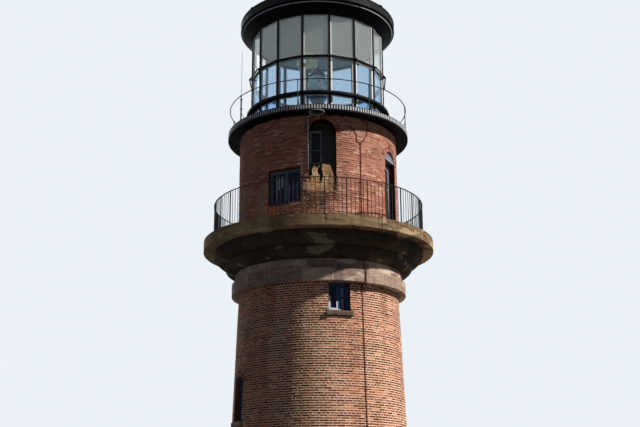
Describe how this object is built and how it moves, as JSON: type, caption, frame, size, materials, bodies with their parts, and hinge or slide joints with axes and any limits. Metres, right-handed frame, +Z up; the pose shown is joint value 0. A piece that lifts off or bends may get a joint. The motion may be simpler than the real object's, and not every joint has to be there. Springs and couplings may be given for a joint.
{
  "type": "lighthouse",
  "caption": "Round brick lighthouse with a stone cornice, a railed stone gallery, a brick watch room and an iron and glass lantern with a turning beacon.",
  "frame": {"origin": "centre of the round tower on the ground it stands on", "axes": "+Z up along the tower's axis; -Y is the side that faces the viewer, with the broken opening of the watch room a few degrees to its right; +X is to the viewer's right"},
  "size_m": [6, 6, 15.987],
  "materials": {
    "brick": "weathered red brick with pale joints",
    "brownstone": "dressed brownstone, stained",
    "floor_stone": "plain stone floor",
    "window_paint": "blue-grey paint on wood",
    "window_glass": "dark window glass",
    "door_paint": "dark paint on wood",
    "grey_paint": "weathered light grey paint",
    "black_iron": "black painted cast iron",
    "lantern_glass": "clear storm panes",
    "ceiling_paint": "pale painted lining",
    "rusted_iron": "brown oxidised strip",
    "antenna_finish": "dull grey rod",
    "lamp_enamel": "pale worn enamel",
    "beacon_grey": "grey-green paint",
    "beacon_cream": "cream paint",
    "lens_glass": "moulded clear lens"
  },
  "bodies": {
    "tower": {"shaft_wall_front": "brick", "shaft_wall_right": "brick", "shaft_wall_back_right": "brick", "shaft_wall_back": "brick", "shaft_wall_back_left": "brick", "shaft_wall_left": "brick", "watch_wall_front": "brick", "watch_wall_right": "brick", "watch_wall_back_right": "brick", "watch_wall_back": "brick", "watch_wall_back_left": "brick", "watch_wall_left": "brick", "base_course": "brownstone", "belt_course": "brownstone", "frieze": "brownstone", "cornice": "brownstone", "gallery_deck": "brownstone", "shaft_window_sills": "brownstone", "entrance_surround": "brownstone", "niche_slabs": "brownstone", "ground_floor": "floor_stone", "shaft_window_frames": "window_paint", "watch_window_frames": "window_paint", "shaft_window_glass": "window_glass", "watch_window_glass": "window_glass", "entrance_door": "door_paint", "gallery_door": "door_paint", "gallery_door_panel": "grey_paint", "lantern_deck_edge": "grey_paint", "gallery_railing_posts": "black_iron", "gallery_railing_panels": "black_iron", "lantern_deck": "black_iron", "lantern_railing_posts": "black_iron", "lantern_handrail": "black_iron", "lantern_mullions": "black_iron", "lantern_bars": "black_iron", "lantern_ledge": "black_iron", "lantern_grab_rail": "black_iron", "lantern_eave": "black_iron", "lantern_roof": "black_iron", "roof_ventilator": "black_iron", "lantern_glass_lower": "lantern_glass", "lantern_glass_middle": "lantern_glass", "lantern_glass_upper": "lantern_glass", "lantern_ceiling": "ceiling_paint", "lightning_rod": "rusted_iron", "lightning_conductor": "rusted_iron", "whip_antenna": "antenna_finish", "wall_lamp": "lamp_enamel", "beacon_pedestal": "beacon_grey"},
    "beacon": {"beacon_turntable": "beacon_grey", "beacon_housings": "beacon_cream", "beacon_lenses": "lens_glass"}
  },
  "joints": [
    {"name": "beacon_spin", "type": "hinge", "parent": "tower", "child": "beacon", "pos_m": [0, 0, 11.818], "axis": [0, 0, 1], "continuous": true}
  ]
}
